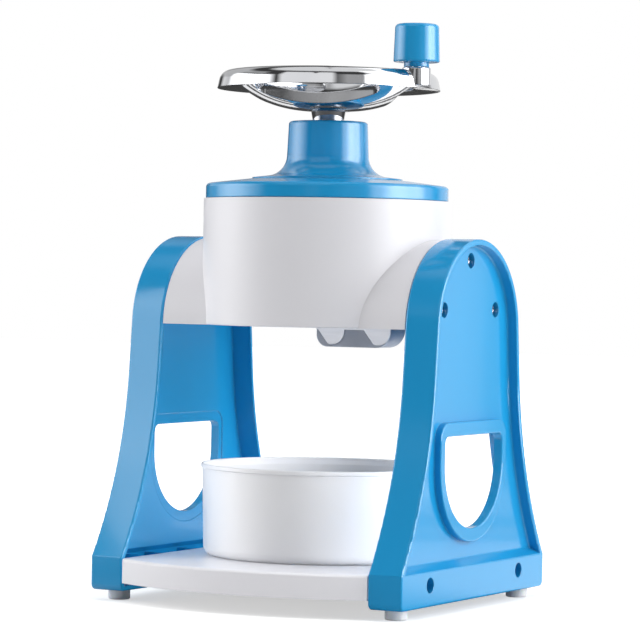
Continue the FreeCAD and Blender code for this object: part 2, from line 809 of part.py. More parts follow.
def shaving_blade():
    section = [
        blade_point(0, 0),
        blade_point(BLADE_WIDTH, 0),
        blade_point(BLADE_WIDTH, -BLADE_THICKNESS),
        blade_point(BLADE_BEVEL, -BLADE_THICKNESS),
    ]
    body = slab(outline(section, on_yz), SLOT_INNER + BLADE_END_GAP, slot_outer - BLADE_END_GAP)
    return body.cut(blade_rods(SMALL_SCREW_RADIUS + FIT, -BLADE_THICKNESS, 0))


def blade_screws():
    shanks = blade_rods(SMALL_SCREW_RADIUS, -BLADE_SCREW_DEPTH, 0)
    heads = blade_rods(SMALL_HEAD_RADIUS, 0, SMALL_HEAD_HEIGHT)
    return Part.makeCompound([joined(shank, [head]) for shank, head in zip(shanks, heads)])


def blade_seat():
    """The room for the blade in the carrier, open to the disc and to the slot."""
    back = blade_point(BLADE_WIDTH, 0)[0] - SLIDING
    front = blade_point(0, -BLADE_THICKNESS)
    run = (front[0] - back) / math.cos(BLADE_TILT)
    section = [front, blade_point(run, -BLADE_THICKNESS), (back, disc_top), (front[0], disc_top)]
    start = SLOT_INNER + BLADE_END_GAP - SLIDING
    end = slot_outer - BLADE_END_GAP + SLIDING
    return slab(outline(section, on_yz), start, end)


def blade_carrier():
    """Grey cast block under the disc, hung by an ear at each end."""
    section = [
        (ear_inner, floor_top),
        (ear_inner, HOPPER_UNDERSIDE),
        (CARRIER_INNER, HOPPER_UNDERSIDE),
        (CARRIER_INNER, carrier_bottom, CARRIER_INNER_ROUND),
        (carrier_outer, carrier_bottom, CARRIER_OUTER_ROUND),
        (carrier_outer, HOPPER_UNDERSIDE),
        (ear_outer, HOPPER_UNDERSIDE),
        (ear_outer, floor_top),
    ]
    body = bar(section, -CARRIER_FRONT, -CARRIER_FRONT + CARRIER_DEPTH)
    holes = blade_rods(SMALL_SCREW_RADIUS + FIT, -BLADE_SCREW_DEPTH, 0)
    return body.cut([blade_seat()] + holes + carrier_screws(SMALL_SCREW_LENGTH, FIT))


def deflector_tab(start):
    """Fin that hangs from the sheet: slanted on one side, swept up on the other."""
    top = floor_top - DEFLECTOR_SKIRT
    low = top - TAB_DROP
    back = -CARRIER_FRONT
    end = start + TAB_WIDTH
    corners = [
        (start, top + DEFLECTOR_SHEET),
        (start, top),
        (start + TAB_SLANT, low, TAB_ROUND),
        (end, low, TAB_HEEL_ROUND),
        (end, top),
        (end, top + DEFLECTOR_SHEET),
    ]
    return bar(corners, back - DEFLECTOR_SHEET, back)


def snow_deflector():
    """Bent sheet in front of the carrier: flange under the disc, skirt and two tabs."""
    face = -CARRIER_FRONT
    section = [
        (face, floor_top),
        (face, floor_top - DEFLECTOR_SKIRT),
        (face - DEFLECTOR_SHEET, floor_top - DEFLECTOR_SKIRT),
        (face - DEFLECTOR_SHEET, floor_top - DEFLECTOR_SHEET, DEFLECTOR_SHEET),
        (face - DEFLECTOR_FLANGE, floor_top - DEFLECTOR_SHEET),
        (face - DEFLECTOR_FLANGE, floor_top),
    ]
    body = slab(outline(section, on_yz), CARRIER_INNER, carrier_outer)
    tabs = [deflector_tab(TAB_FIRST + i * TAB_PITCH) for i in range(TAB_COUNT)]
    return joined(body, tabs).cut(deflector_screws(SMALL_SCREW_LENGTH, FIT))


# ---- Bowl ------------------------------------------------------------------------------------


def ice_bowl():
    rim = tray_top + BOWL_HEIGHT
    lip = rim - BOWL_LIP_HEIGHT
    wall_top = BOWL_RIM_RADIUS - BOWL_LIP
    inside = tray_top + BOWL_KICK + BOWL_WALL
    return turned([
        (0, tray_top + BOWL_KICK),
        (BOWL_FOOT_RADIUS - 2 * BOWL_FOOT_ROUND, tray_top + BOWL_KICK),
        (BOWL_FOOT_RADIUS - 2 * BOWL_FOOT_ROUND + BOWL_KICK, tray_top),
        (BOWL_FOOT_RADIUS, tray_top, BOWL_FOOT_ROUND),
        (wall_top, lip),
        (BOWL_RIM_RADIUS, lip, BOWL_EDGE),
        (BOWL_RIM_RADIUS, rim, BOWL_EDGE),
        (BOWL_RIM_RADIUS - BOWL_WALL, rim, BOWL_EDGE),
        (BOWL_RIM_RADIUS - BOWL_WALL, lip + BOWL_LIP),
        (wall_top - BOWL_WALL, lip - BOWL_WALL),
        (BOWL_FOOT_RADIUS - BOWL_WALL, inside, BOWL_FOOT_ROUND - BOWL_WALL),
        (0, inside),
    ])


# ---- Lid -------------------------------------------------------------------------------------


def cone_height(radius):
    """Height of the lid's outer cone at a radius, outside the step."""
    return lid_edge_top + (lid_radius - radius) * math.tan(LID_CONE)


def lid_profile():
    seat = hopper_bore + LID_SEAT
    lip = hopper_top + LID_LIP_GAP
    plug_low = hopper_top - LID_PLUG_DEPTH
    plug_inner = plug_radius - LID_WALL
    drop = LID_WALL / math.cos(LID_CONE)
    flange_seat = neck_top - BUSH_FLANGE_THICKNESS
    ceiling = flange_seat - BUSH_BOSS_WALL
    neck_inner = neck_foot_radius - LID_WALL
    return [
        (bush_radius + FIT, bush_bottom),
        (bush_radius + FIT, flange_seat),
        (BUSH_FLANGE + FIT, flange_seat),
        (BUSH_FLANGE + FIT, neck_top),
        (NECK_RADIUS, neck_top, NECK_EDGE),
        (neck_foot_radius, cone_height(neck_foot_radius) + LID_STEP_HEIGHT, NECK_FILLET),
        (LID_STEP_RADIUS, cone_height(LID_STEP_RADIUS) + LID_STEP_HEIGHT),
        (LID_STEP_RADIUS, cone_height(LID_STEP_RADIUS)),
        (lid_radius, lid_edge_top, LID_RIM_ROUND),
        (lid_radius, lip),
        (seat, lip),
        (seat, hopper_top),
        (plug_radius, hopper_top),
        (plug_radius, plug_low),
        (plug_inner, plug_low),
        (plug_inner, cone_height(plug_inner) - drop),
        (neck_inner, cone_height(neck_inner) - drop, NECK_FILLET + LID_WALL),
        (NECK_RADIUS - LID_WALL, ceiling),
        (bush_radius + BUSH_BOSS_WALL, ceiling),
        (bush_radius + BUSH_BOSS_WALL, bush_bottom),
    ]


def lid_ribs():
    """Ribs between the bushing's boss and the neck, and ribs under the cone."""
    half = NECK_RIB / 2
    ceiling = neck_top - BUSH_FLANGE_THICKNESS
    boss = bush_radius + BUSH_BOSS_WALL / 2
    upper = block(boss, NECK_RADIUS - LID_WALL / 2, -half, half, bush_bottom + NECK_RIB, ceiling)
    inner = neck_foot_radius + NECK_FILLET
    outer = plug_radius - LID_WALL / 2
    lower = bar([
        (inner, cone_height(inner) - LID_WALL - CONE_RIB),
        (outer, cone_height(outer) - LID_WALL - CONE_RIB),
        (outer, cone_height(outer) - LID_WALL / 2),
        (inner, cone_height(inner) - LID_WALL / 2),
    ], -half, half)
    return ring_of(upper, NECK_RIB_COUNT) + ring_of(lower, NECK_RIB_COUNT)


def lid():
    half = LID_KEY_WIDTH / 2
    plug_low = hopper_top - LID_PLUG_DEPTH
    key = block(plug_radius - LID_WALL / 2, plug_radius + LID_KEY_DEPTH, -half, half, plug_low, hopper_top)
    return joined(turned(lid_profile()), ring_of(key, LID_KEY_COUNT, LID_KEY_ANGLE) + lid_ribs())


def neck_bushing():
    flange_seat = neck_top - BUSH_FLANGE_THICKNESS
    return turned([
        (SHAFT_RADIUS + RUNNING, bush_bottom),
        (SHAFT_RADIUS + RUNNING, neck_top),
        (BUSH_FLANGE, neck_top),
        (BUSH_FLANGE, flange_seat),
        (bush_radius, flange_seat),
        (bush_radius, bush_bottom),
    ])


# ---- Drive shaft, wheel and knob -------------------------------------------------------------


def drive_shaft():
    """Square sliding length, collar, round journal, square drive and stud."""
    nut_seat = neck_top + WHEEL_NUT_SEAT
    stud_top = nut_seat + NUT_HEIGHT + BUSH_FLANGE_THICKNESS / 2
    slide = plate(square(SHAFT_SQUARE), shaft_end, collar_bottom)
    collar = column(SHAFT_COLLAR_RADIUS, collar_bottom, collar_top)
    journal = column(SHAFT_RADIUS, collar_top, hub_bottom)
    drive = plate(square(SHAFT_DRIVE), hub_bottom, nut_seat - SLIDING)
    stud = column(SHAFT_STUD_RADIUS, nut_seat - SLIDING, stud_top)
    tapped = column(END_SCREW_RADIUS + FIT, shaft_end, shaft_end + END_SCREW_DEPTH)
    return joined(slide, [collar, journal, drive, stud]).cut(tapped)


def thrust_washer():
    ring = column(SHAFT_COLLAR_RADIUS, collar_top, collar_top + WASHER_THICKNESS)
    return ring.cut(column(SHAFT_RADIUS + FIT, collar_top, collar_top + WASHER_THICKNESS))


def wheel_dish():
    """Full dish of even thickness, level at the hub and steep at the rim."""
    start = WHEEL_SKIRT_TOP_RADIUS
    base = neck_top + WHEEL_DISH_BOTTOM
    reach = rim_inner - start
    outer = (reach**2 + WHEEL_DISH_RISE**2) / (2 * WHEEL_DISH_RISE)
    inner = outer - (hub_top - base)
    end_angle = math.asin((reach + WHEEL_RIM_WIDTH / 4) / outer)

    def spot(radius, angle):
        return on_xz(start + radius * math.sin(angle), base + outer - radius * math.cos(angle))

    def arc(radius):
        return Part.Arc(spot(radius, 0), spot(radius, end_angle / 2), spot(radius, end_angle)).toShape()

    edges = [
        arc(outer),
        Part.LineSegment(spot(outer, end_angle), spot(inner, end_angle)).toShape(),
        arc(inner),
        Part.LineSegment(spot(inner, 0), spot(outer, 0)).toShape(),
    ]
    face = Part.Face(Part.Wire(Part.__sortEdges__(edges)))
    return face.revolve(Vector(0, 0, 0), Vector(0, 0, 1), FULL_TURN)


def spoke_gap():
    """The room between two spokes, from a straight side of the dish out to the rim."""
    far = rim_inner + WHEEL_RIM_WIDTH / 2
    return plate([
        (GAP_SIDE, -GAP_HALF_LENGTH, GAP_ROUND),
        (far, -GAP_HALF_LENGTH),
        (far, GAP_HALF_LENGTH),
        (GAP_SIDE, GAP_HALF_LENGTH, GAP_ROUND),
    ], neck_top, rim_top)


def handwheel():
    rim = turned([
        (rim_inner, wheel_edge + WHEEL_UNDERSIDE_RISE),
        (WHEEL_RADIUS, wheel_edge),
        (WHEEL_RADIUS - WHEEL_RIM_DRAFT, rim_top, WHEEL_RIM_SHOULDER),
        (rim_inner, rim_top, WHEEL_RIM_INNER_ROUND),
    ])
    base = neck_top + WHEEL_DISH_BOTTOM
    hub = turned([
        (0, hub_bottom),
        (WHEEL_SKIRT_RADIUS, hub_bottom),
        (WHEEL_SKIRT_TOP_RADIUS, base),
        (WHEEL_HUB_RADIUS, base),
        (WHEEL_HUB_RADIUS, hub_top),
        (0, hub_top),
    ])
    boss = turned([
        (0, wheel_edge + KNOB_BOSS_RISE),
        (KNOB_BOSS_RADIUS, wheel_edge + KNOB_BOSS_RISE),
        (KNOB_BOSS_RADIUS, knob_boss_top, KNOB_BOSS_EDGE),
        (0, knob_boss_top),
    ], knob_x, knob_y)
    first_gap = SPOKE_ANGLE + FULL_TURN / SPOKE_COUNT / 2
    dish = wheel_dish().cut(ring_of(spoke_gap(), SPOKE_COUNT, first_gap))
    nut_seat = neck_top + WHEEL_NUT_SEAT
    well = column(HUB_CAP_RADIUS + FIT, nut_seat, hub_top)
    drive = plate(square(SHAFT_DRIVE + 2 * FIT), hub_bottom, nut_seat)
    axle = column(KNOB_SCREW_RADIUS + FIT, knob_boss_top - KNOB_SCREW_DEPTH, knob_boss_top, knob_x, knob_y)
    return joined(rim, [hub, boss, dish]).cut([well, drive, axle])


def wheel_nut():
    seat = neck_top + WHEEL_NUT_SEAT
    nut = plate(hexagon(NUT_RADIUS), seat, seat + NUT_HEIGHT)
    return nut.cut(column(SHAFT_STUD_RADIUS + FIT, seat, seat + NUT_HEIGHT))


def hub_cap():
    seat = neck_top + WHEEL_NUT_SEAT
    top = hub_top + HUB_CAP_RISE
    inner = HUB_CAP_RADIUS - HUB_CAP_WALL
    return turned([
        (0, top),
        (HUB_CAP_RADIUS, top, HUB_CAP_ROUND),
        (HUB_CAP_RADIUS, seat),
        (inner, seat),
        (inner, top - HUB_CAP_WALL, HUB_CAP_ROUND - HUB_CAP_WALL),
        (0, top - HUB_CAP_WALL),
    ])


def crank_knob():
    foot_level = knob_bottom + KNOB_STEM
    top = foot_level + KNOB_HEIGHT
    shelf = knob_bottom + KNOB_SHELF
    cap_seat = top - KNOB_CAP_THICKNESS
    return turned([
        (KNOB_SCREW_RADIUS + RUNNING, knob_bottom),
        (KNOB_STEM_RADIUS, knob_bottom),
        (KNOB_STEM_RADIUS, foot_level),
        (KNOB_RADIUS, foot_level, KNOB_BOSS_EDGE),
        (KNOB_TOP_RADIUS, top, KNOB_EDGE),
        (KNOB_CAP_RADIUS + FIT, top),
        (KNOB_CAP_RADIUS + FIT, cap_seat),
        (KNOB_WELL_RADIUS, cap_seat),
        (KNOB_WELL_RADIUS, shelf),
        (KNOB_SCREW_RADIUS + RUNNING, shelf),
    ], knob_x, knob_y)


def knob_cap():
    top = knob_bottom + KNOB_STEM + KNOB_HEIGHT
    return column(KNOB_CAP_RADIUS, top - KNOB_CAP_THICKNESS, top, knob_x, knob_y)


def knob_axle():
    """Shoulder screw: its shank is the knob's bearing, its head holds the knob down."""
    low = knob_boss_top - KNOB_SCREW_DEPTH
    head = knob_bottom + KNOB_SHELF + SLIDING
    top = head + KNOB_HEAD_HEIGHT
    body = turned([
        (0, low),
        (KNOB_SCREW_RADIUS, low),
        (KNOB_SCREW_RADIUS, head),
        (KNOB_HEAD_RADIUS, head),
        (KNOB_HEAD_RADIUS, top),
        (0, top),
    ], knob_x, knob_y)
    socket = plate(hexagon(KNOB_SCREW_RADIUS - 1), top - KNOB_HEAD_HEIGHT / 2, top)
    socket.translate(Vector(knob_x, knob_y, 0))
    return body.cut(socket)


# ---- Presser ---------------------------------------------------------------------------------


def pin_places():
    """One place per pin: (radius, angle)."""
    inner = [(PIN_INNER_RADIUS, FULL_TURN * i / PIN_INNER_COUNT) for i in range(PIN_INNER_COUNT)]
    outer = [(PIN_OUTER_RADIUS, FULL_TURN * i / PIN_OUTER_COUNT) for i in range(PIN_OUTER_COUNT)]
    return inner + outer


def presser_pin(radius, angle):
    tip = presser_bottom - PIN_LENGTH
    pin = turned([
        (0, presser_top),
        (PIN_RADIUS, presser_top),
        (PIN_RADIUS, tip + PIN_POINT),
        (PIN_TIP_RADIUS, tip),
        (0, tip),
    ], radius)
    return around(pin, angle)


def ice_presser():
    plate_body = column(PRESSER_RADIUS, presser_bottom, presser_top)
    hub = column(PRESSER_HUB_RADIUS, presser_bottom, presser_hub_top)
    rim_low = column(PRESSER_RADIUS, presser_bottom, presser_top + PRESSER_RIM_RISE)
    rim = rim_low.cut(column(PRESSER_RADIUS - PRESSER_RIM, presser_bottom, presser_hub_top))
    half = PRESSER_RIM / 2
    reach = PRESSER_RADIUS - PRESSER_RIM / 2
    rib = block(PRESSER_HUB_RADIUS - 1, reach, -half, half, presser_bottom, presser_top + PRESSER_RIM_RISE)
    ribs = ring_of(rib, PRESSER_RIB_COUNT, 180.0 / PRESSER_RIB_COUNT)
    bore = plate(square(SHAFT_SQUARE + 2 * SLIDING), presser_bottom, presser_hub_top)
    holes = [
        around(column(PIN_RADIUS + FIT, presser_bottom, presser_top, radius), angle)
        for radius, angle in pin_places()
    ]
    return joined(plate_body, [hub, rim] + ribs).cut([bore] + holes)


def presser_spring():
    """Open coil between the presser's hub and the shaft's collar."""
    height = collar_bottom - presser_hub_top - SPRING_WIRE
    coil = Part.makeHelix(height / SPRING_TURNS, height, SPRING_RADIUS)
    turns = [2 * math.pi * i / SPRING_FLATS for i in range(SPRING_FLATS)]
    wire = SPRING_WIRE / 2
    section = outline([(SPRING_RADIUS + wire * math.cos(t), wire * math.sin(t)) for t in turns], on_xz)
    spring = Part.Wire(coil).makePipeShell([section], True, True)
    spring.translate(Vector(0, 0, presser_hub_top + SPRING_WIRE / 2))
    return spring


def end_washer():
    low = shaft_end - WASHER_THICKNESS
    return column(END_WASHER_RADIUS, low, shaft_end).cut(column(END_SCREW_RADIUS + FIT, low, shaft_end))


def end_screw():
    seat = shaft_end - WASHER_THICKNESS
    low = seat - END_HEAD_HEIGHT
    body = turned([
        (0, low),
        (END_HEAD_RADIUS, low, KNOB_BOSS_EDGE),
        (END_HEAD_RADIUS, seat),
        (END_SCREW_RADIUS, seat),
        (END_SCREW_RADIUS, shaft_end + END_SCREW_DEPTH),
        (0, shaft_end + END_SCREW_DEPTH),
    ])
    return body.cut(plate(hexagon(END_SCREW_RADIUS), low, low + END_HEAD_HEIGHT / 2))


# ---- Nodes -----------------------------------------------------------------------------------


def nodes():
    """Every separate piece, by its node's name."""
    right = right_panel()
    flange_through = DISC_THICKNESS + DEFLECTOR_SHEET
    return {
        "base_tray": base_tray(),
        "right_side_panel": right,
        "left_side_panel": mirrored(right),
        "front_right_foot": foot(foot_x, -foot_y),
        "front_left_foot": foot(-foot_x, -foot_y),
        "rear_right_foot": foot(foot_x, foot_y),
        "rear_left_foot": foot(-foot_x, foot_y),
        "hopper_screws": screw_set(hopper_screw_places(), web_outer - CUP_DEPTH),
        "tray_screws": screw_set(tray_screw_places(), panel_inner + CUP_FLOOR),
        "hopper_shell": hopper_shell(),
        "blade_disc": blade_disc(),
        "blade_disc_screws": Part.makeCompound(disc_screws(SMALL_SCREW_LENGTH)),
        "blade_carrier": blade_carrier(),
        "carrier_screws": Part.makeCompound(carrier_screws(SMALL_SCREW_LENGTH)),
        "shaving_blade": shaving_blade(),
        "blade_screws": blade_screws(),
        "snow_deflector": snow_deflector(),
        "deflector_screws": Part.makeCompound(deflector_screws(flange_through)),
        "ice_bowl": ice_bowl(),
        "lid": lid(),
        "neck_bushing": neck_bushing(),
        "drive_shaft": drive_shaft(),
        "thrust_washer": thrust_washer(),
        "handwheel": handwheel(),
        "wheel_nut": wheel_nut(),
        "hub_cap": hub_cap(),
        "knob_axle": knob_axle(),
        "crank_knob": crank_knob(),
        "knob_cap": knob_cap(),
        "presser_spring": presser_spring(),
        "end_washer": end_washer(),
        "end_screw": end_screw(),
        "ice_presser": ice_presser(),
        "presser_pins": Part.makeCompound([presser_pin(radius, angle) for radius, angle in pin_places()]),
    }


os.makedirs("parts", exist_ok=True)
for name, shape in nodes().items():
    shape.exportStep("parts/" + name + ".step")
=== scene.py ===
import json
import math

import bpy
from mathutils import Matrix, Vector


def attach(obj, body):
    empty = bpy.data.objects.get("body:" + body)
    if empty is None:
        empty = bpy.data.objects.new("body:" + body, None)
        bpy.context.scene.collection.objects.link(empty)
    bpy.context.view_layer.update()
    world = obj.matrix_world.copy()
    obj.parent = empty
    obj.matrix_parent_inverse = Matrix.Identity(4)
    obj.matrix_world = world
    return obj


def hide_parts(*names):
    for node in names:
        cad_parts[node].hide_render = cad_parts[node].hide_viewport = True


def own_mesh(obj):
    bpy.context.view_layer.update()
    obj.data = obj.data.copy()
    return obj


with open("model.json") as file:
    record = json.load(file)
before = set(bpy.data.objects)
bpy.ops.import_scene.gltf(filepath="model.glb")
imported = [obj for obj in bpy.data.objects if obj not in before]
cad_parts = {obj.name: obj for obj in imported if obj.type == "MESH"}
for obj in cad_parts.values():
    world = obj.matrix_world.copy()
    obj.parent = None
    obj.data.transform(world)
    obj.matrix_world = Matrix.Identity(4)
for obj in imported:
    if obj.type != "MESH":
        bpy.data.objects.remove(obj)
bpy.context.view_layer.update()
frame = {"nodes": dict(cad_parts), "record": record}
NODES = frame["nodes"]

# ---- Camera ----------------------------------------------------------------------------------

SENSOR_MM = 36.0
LENS_MM = 175.8
CAMERA_AZIMUTH = math.radians(28.592)
CAMERA_DISTANCE = 2.08088
CAMERA_HEIGHT = 0.21635
CAMERA_YAW = math.radians(0.094)
CAMERA_PITCH = math.radians(0.861)
CAMERA_ROLL = math.radians(0.961)
CAMERA_REACH = 20.0


def add_camera():
    """Long lens, a little right of the front, just above the foot of the hopper."""
    heading = CAMERA_AZIMUTH + CAMERA_YAW
    forward = Vector((
        -math.sin(heading) * math.cos(CAMERA_PITCH),
        math.cos(heading) * math.cos(CAMERA_PITCH),
        -math.sin(CAMERA_PITCH),
    ))
    level = Vector((math.cos(heading), math.sin(heading), 0))
    above = level.cross(forward)
    right = level * math.cos(CAMERA_ROLL) + above * math.sin(CAMERA_ROLL)
    up = above * math.cos(CAMERA_ROLL) - level * math.sin(CAMERA_ROLL)
    camera = bpy.data.objects.new("camera", bpy.data.cameras.new("camera"))
    camera.data.sensor_width = SENSOR_MM
    camera.data.lens = LENS_MM
    camera.data.clip_end = CAMERA_REACH
    place = Vector((
        CAMERA_DISTANCE * math.sin(CAMERA_AZIMUTH),
        -CAMERA_DISTANCE * math.cos(CAMERA_AZIMUTH),
        CAMERA_HEIGHT,
    ))
    turn = Matrix((right, up, -forward)).transposed().to_4x4()
    camera.matrix_world = Matrix.Translation(place) @ turn
    bpy.context.scene.collection.objects.link(camera)
    bpy.context.scene.camera = camera


# ---- Node helpers ----------------------------------------------------------------------------

EDGE_SOFTNESS = 0.0009
THIN_EDGE_SOFTNESS = 0.0004
BEVEL_SAMPLES = 6
# Cosine between the soft and the flat normal where the edge mask is full, and where it ends
MASK_FULL = 0.55
MASK_END = 0.88
RELIEF = 0.0002


def add_node(tree, kind, inputs=(), **settings):
    """Adds a shader node. inputs maps a socket's name or number to a value or an output socket."""
    made = tree.nodes.new("ShaderNode" + kind)
    for key, value in settings.items():
        setattr(made, key, value)
    for key, value in dict(inputs).items():
        if isinstance(value, bpy.types.NodeSocket):
            tree.links.new(value, made.inputs[key])
        else:
            made.inputs[key].default_value = value
    return made


def math_node(tree, operation, first, second=0.0):
    return add_node(tree, "Math", {0: first, 1: second}, operation=operation).outputs[0]


def vector_node(tree, operation, first, second=(0, 0, 0)):
    """A vector operation whose result is a number."""
    made = add_node(tree, "VectorMath", {0: first, 1: second}, operation=operation)
    return made.outputs["Value"]


def noise(tree, scale, detail=2.0, stretch=(1, 1, 1)):
    """Noise in the piece's own metres; scale is cells per metre."""
    place = add_node(tree, "TexCoord").outputs["Object"]
    if stretch != (1, 1, 1):
        place = add_node(tree, "Mapping", {"Vector": place, "Scale": stretch}).outputs[0]
    made = add_node(tree, "TexNoise", {"Vector": place, "Scale": scale, "Detail": detail})
    return made.outputs["Fac"]


def between(tree, factor, low, high, start=0.3, end=0.7):
    """A number that runs from low to high as factor goes from start to end.

    The defaults stretch noise, which seldom leaves that range, over the whole way.
    """
    inputs = {"Value": factor, "From Min": start, "From Max": end, "To Min": low, "To Max": high}
    return add_node(tree, "MapRange", inputs).outputs[0]


def blend_colour(tree, factor, first, second):
    """The first colour where the factor socket is 0, the second where it is 1."""
    made = add_node(tree, "Mix", data_type="RGBA")
    sockets = {socket.identifier: socket for socket in made.inputs}
    for name, value in (("Factor_Float", factor), ("A_Color", first), ("B_Color", second)):
        if isinstance(value, bpy.types.NodeSocket):
            tree.links.new(value, sockets[name])
        else:
            sockets[name].default_value = (*value, 1)
    return [socket for socket in made.outputs if socket.identifier == "Result_Color"][0]


def soft_edge(tree, softness=EDGE_SOFTNESS):
    """Normal with the edges rounded off."""
    return add_node(tree, "Bevel", {"Radius": softness}, samples=BEVEL_SAMPLES).outputs[0]


def edge_mask(tree, rounded):
    """1 on the edges, where the soft normal leans away from the flat one."""
    flat = add_node(tree, "NewGeometry").outputs["Normal"]
    facing = vector_node(tree, "DOT_PRODUCT", rounded, flat)
    return between(tree, facing, low=1, high=0, start=MASK_FULL, end=MASK_END)


def bumped(tree, height, normal, strength, distance=RELIEF):
    """Normal roughened by a height of 0 to 1; distance is the relief's depth."""
    inputs = {"Height": height, "Normal": normal, "Strength": strength, "Distance": distance}
    return add_node(tree, "Bump", inputs).outputs[0]


def new_material(name, **values):
    """Material with one Principled shader, its fixed values set on the shader's own sockets."""
    material = bpy.data.materials.new(name)
    material.use_nodes = True
    shader = material.node_tree.nodes["Principled BSDF"]
    for key, value in values.items():
        shader.inputs[key.replace("_", " ")].default_value = value
    return material, material.node_tree, shader


def feed(tree, shader, **sources):
    """Links each source to the shader's socket of that name."""
    for key, source in sources.items():
        tree.links.new(source, shader.inputs[key.replace("_", " ")])


# ---- Materials -------------------------------------------------------------------------------

BLUE = (0.015, 0.335, 0.680)
BLUE_DEEP = (0.013, 0.318, 0.655)
# Lighter blue that is painted on the edges as a highlight
BLUE_EDGE_HIGHLIGHT = (0.110, 0.520, 0.860)
WHITE = (0.85, 0.845, 0.88)
WHITE_DEEP = (0.84, 0.835, 0.87)
# Lighter white that is painted on the edges as a highlight
WHITE_EDGE_HIGHLIGHT = (0.92, 0.92, 0.93)
NYLON = (0.78, 0.77, 0.72)
NYLON_DEEP = (0.72, 0.71, 0.66)
FROST = (0.83, 0.83, 0.845)
FROST_DEEP = (0.80, 0.805, 0.825)
CHROME = (0.80, 0.81, 0.83)
CHROME_DEEP = (0.72, 0.73, 0.76)
STAINLESS = (0.78, 0.79, 0.83)
STAINLESS_DEEP = (0.68, 0.69, 0.73)
STEEL = (0.68, 0.69, 0.71)
STEEL_DEEP = (0.58, 0.59, 0.61)
ZINC = (0.74, 0.75, 0.76)
ZINC_DEEP = (0.62, 0.63, 0.65)
# Pale grey that is painted on metal edges as a highlight
METAL_EDGE_HIGHLIGHT = (0.9, 0.9, 0.9)
CASTING = (0.52, 0.55, 0.62)
CASTING_DEEP = (0.44, 0.47, 0.54)
# Lighter grey that is painted on the casting's edges as a highlight
CASTING_EDGE_HIGHLIGHT = (0.70, 0.73, 0.79)
RUBBER = (0.95, 0.95, 0.96)
RUBBER_DEEP = (0.89, 0.89, 0.90)
RUBBER_EDGE = (0.86, 0.86, 0.87)
# Roughness as shares of a finish's own value, from its cleanest to its haziest spot. Each range
# stays on one side of 0.27, where denoising changes and would leave pale specks.
PLASTIC_HAZE = (0.92, 1.1)
METAL_HAZE = (0.9, 1.3)


def moulded_plastic(name, colour, deep, edge, gloss, grain, softness=EDGE_SOFTNESS, **values):
    """Glossy moulded plastic: faint flow marks, orange peel, handling haze, and a painted highlight
    along the edges that noise breaks up.
    """
    material, tree, shader = new_material(name, **values)
    rounded = soft_edge(tree, softness)
    marks = noise(tree, scale=11, detail=3, stretch=(1, 1, 0.35))
    flow = between(tree, marks, low=0, high=1, start=0.2, end=0.8)
    tone = blend_colour(tree, flow, colour, deep)
    # Painted highlight: the edges are lightened towards the lighter colour, in patches set by noise
    highlight_breakup = between(tree, noise(tree, scale=160, detail=4), low=0.15, high=0.75)
    edge_highlight_mask = math_node(tree, "MULTIPLY", edge_mask(tree, rounded), highlight_breakup)
    tone = blend_colour(tree, edge_highlight_mask, tone, edge)
    cloud = noise(tree, scale=90, detail=5)
    clean, hazy = [gloss * share for share in PLASTIC_HAZE]
    haze = between(tree, cloud, low=clean, high=hazy, start=0.2, end=0.8)
    peel = bumped(tree, noise(tree, scale=420), rounded, strength=grain)
    feed(tree, shader, Base_Color=tone, Roughness=haze, Normal=peel)
    return material


def frosted_plastic(name):
    """Milky see-through plastic with a sand-blasted grain."""
    material, tree, shader = new_material(name, IOR=1.46, Transmission_Weight=0.20)
    milk = noise(tree, scale=22, detail=4, stretch=(1, 1, 0.5))
    cloud = between(tree, milk, low=0, high=1)
    tone = blend_colour(tree, cloud, FROST, FROST_DEEP)
    streaks = noise(tree, scale=240, detail=3, stretch=(1, 1, 0.08))
    haze = between(tree, streaks, low=0.34, high=0.42)
    flat = add_node(tree, "NewGeometry").outputs["Normal"]
    grain = bumped(tree, noise(tree, scale=1600), flat, strength=0.2)
    feed(tree, shader, Base_Color=tone, Roughness=haze, Normal=grain)
    return material


def polished_chrome(name):
    """Chrome over a polished casting: slow waves from the polishing, faint haze and specks."""
    material, tree, shader = new_material(name, Metallic=1.0)
    cloud = between(tree, noise(tree, scale=30, detail=4), low=0, high=1)
    tone = blend_colour(tree, cloud, CHROME, CHROME_DEEP)
    haze = between(tree, noise(tree, scale=90, detail=5), low=0.03, high=0.09)
    swell = noise(tree, scale=26, detail=1)
    waves = bumped(tree, swell, soft_edge(tree), strength=0.25, distance=0.0006)
    specks = bumped(tree, noise(tree, scale=1300), waves, strength=0.03, distance=0.0001)
    feed(tree, shader, Base_Color=tone, Roughness=haze, Normal=specks)
    return material


def brushed_metal(name, colour, deep, gloss, stretch, **values):
    """Metal with fine lines along one way, and a painted highlight along its edges."""
    material, tree, shader = new_material(name, **values)
    rounded = soft_edge(tree)
    lines = noise(tree, scale=260, detail=3, stretch=stretch)
    tone = blend_colour(tree, between(tree, lines, low=0, high=1), colour, deep)
    # Painted highlight: the edges are lightened towards a pale grey
    tone = blend_colour(tree, edge_mask(tree, rounded), tone, METAL_EDGE_HIGHLIGHT)
    clean, hazy = [gloss * share for share in METAL_HAZE]
    haze = between(tree, lines, low=clean, high=hazy)
    scored = bumped(tree, lines, rounded, strength=0.15)
    feed(tree, shader, Base_Color=tone, Roughness=haze, Normal=scored)
    return material


def cast_metal(name):
    """Satin grey casting with a fine sandy skin, and a painted highlight along its edges."""
    material, tree, shader = new_material(name, Metallic=0.30)
    rounded = soft_edge(tree)
    cloud = between(tree, noise(tree, scale=70, detail=4), low=0, high=1)
    tone = blend_colour(tree, cloud, CASTING, CASTING_DEEP)
    # Painted highlight: the edges are lightened towards a lighter grey
    tone = blend_colour(tree, edge_mask(tree, rounded), tone, CASTING_EDGE_HIGHLIGHT)
    haze = between(tree, noise(tree, scale=200, detail=4), low=0.36, high=0.52)
    skin = bumped(tree, noise(tree, scale=900, detail=3), rounded, strength=0.3)
    feed(tree, shader, Base_Color=tone, Roughness=haze, Normal=skin)
    return material


